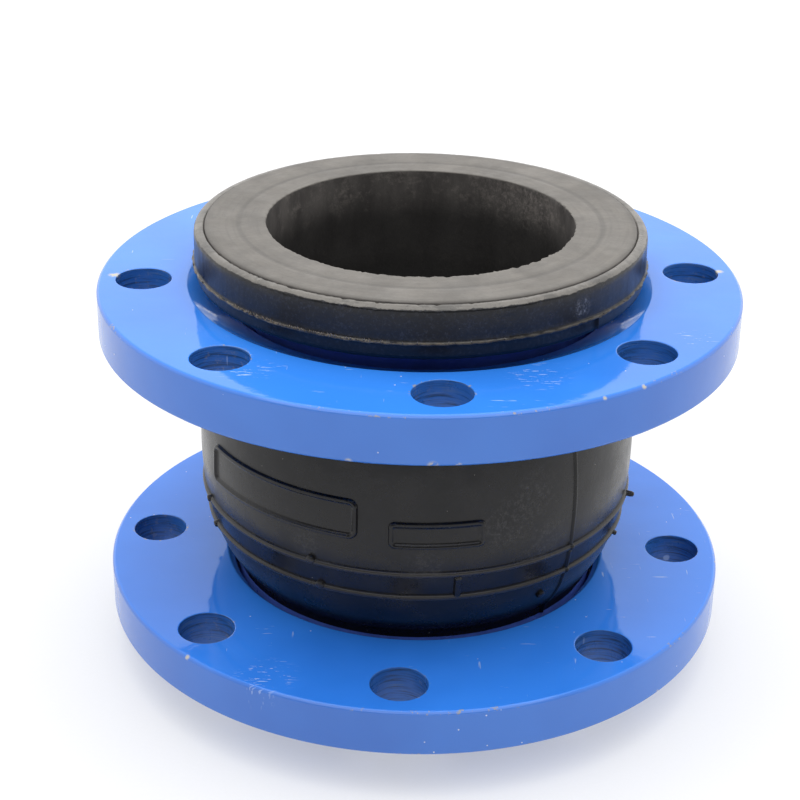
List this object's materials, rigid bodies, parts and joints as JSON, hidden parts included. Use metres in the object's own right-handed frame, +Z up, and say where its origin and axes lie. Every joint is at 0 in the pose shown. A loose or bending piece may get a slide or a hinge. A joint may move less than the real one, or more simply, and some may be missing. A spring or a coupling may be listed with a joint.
{
  "type": "rubber expansion joint",
  "caption": "Single-arch flexible rubber pipe connector with loose drilled steel flanges that swivel and float on beaded ends.",
  "frame": {"origin": "on the axis, in the plane of the lower sealing face", "axes": "+Z up along the pipe axis, towards the end with the slid-down flange; X and Y across the pipe"},
  "size_m": [0.21, 0.21, 0.15],
  "materials": {
    "enamel": "gloss",
    "cover": "satin",
    "liner": "matte",
    "cord": "matte",
    "wire": "satin"
  },
  "bodies": {
    "lower_end": {"lower_liner_lip": "liner", "lower_ply_1_turnup": "cord", "lower_ply_2_turnup": "cord", "lower_ply_3_turnup": "cord", "lower_ply_4_turnup": "cord", "lower_cover_collar": "cover"},
    "lower_bead": {"lower_bead_ring": "wire"},
    "lower_flange": {"lower_flange": "enamel"},
    "arch_lower": {"arch_liner": "liner", "arch_ply_1": "cord", "arch_ply_2": "cord"},
    "arch_upper": {"arch_ply_3": "cord", "arch_ply_4": "cord", "arch_cover": "cover"},
    "upper_end": {"upper_liner_lip": "liner", "upper_ply_1_turnup": "cord", "upper_ply_2_turnup": "cord", "upper_ply_3_turnup": "cord", "upper_ply_4_turnup": "cord", "upper_cover_collar": "cover"},
    "upper_bead": {"upper_bead_ring": "wire"},
    "upper_flange": {"upper_flange": "enamel"}
  },
  "joints": [
    {"name": "lower_flange_swivel", "type": "hinge", "parent": "lower_end", "child": "lower_bead", "pos_m": [0, 0, 0.0235], "axis": [0, 0, 1], "continuous": true},
    {"name": "lower_flange_float", "type": "slide", "parent": "lower_bead", "child": "lower_flange", "axis": [0, 0, 1], "range_m": [0, 0.004]},
    {"name": "lower_tilt", "type": "hinge", "parent": "lower_end", "child": "arch_lower", "pos_m": [0, 0, 0.035], "axis": [0, 1, 0], "range_deg": [-7.5, 7.5], "stiffness_Nm_per_rad": 350, "deforming": ["arch_liner", "arch_ply_1", "arch_ply_2", "arch_ply_3", "arch_ply_4", "arch_cover"]},
    {"name": "axial_travel", "type": "slide", "parent": "arch_lower", "child": "arch_upper", "axis": [0, 0, 1], "range_m": [-0.018, 0.01], "stiffness_N_per_m": 75000, "deforming": ["arch_liner", "arch_ply_1", "arch_ply_2", "arch_ply_3", "arch_ply_4", "arch_cover"]},
    {"name": "upper_tilt", "type": "hinge", "parent": "arch_upper", "child": "upper_end", "pos_m": [0, 0, 0.115], "axis": [0, 1, 0], "range_deg": [-7.5, 7.5], "stiffness_Nm_per_rad": 350, "deforming": ["arch_liner", "arch_ply_1", "arch_ply_2", "arch_ply_3", "arch_ply_4", "arch_cover"]},
    {"name": "upper_flange_swivel", "type": "hinge", "parent": "upper_end", "child": "upper_bead", "pos_m": [0, 0, 0.1225], "axis": [0, 0, 1], "continuous": true},
    {"name": "upper_flange_float", "type": "slide", "parent": "upper_bead", "child": "upper_flange", "axis": [0, 0, 1], "range_m": [0, 0.004]}
  ]
}
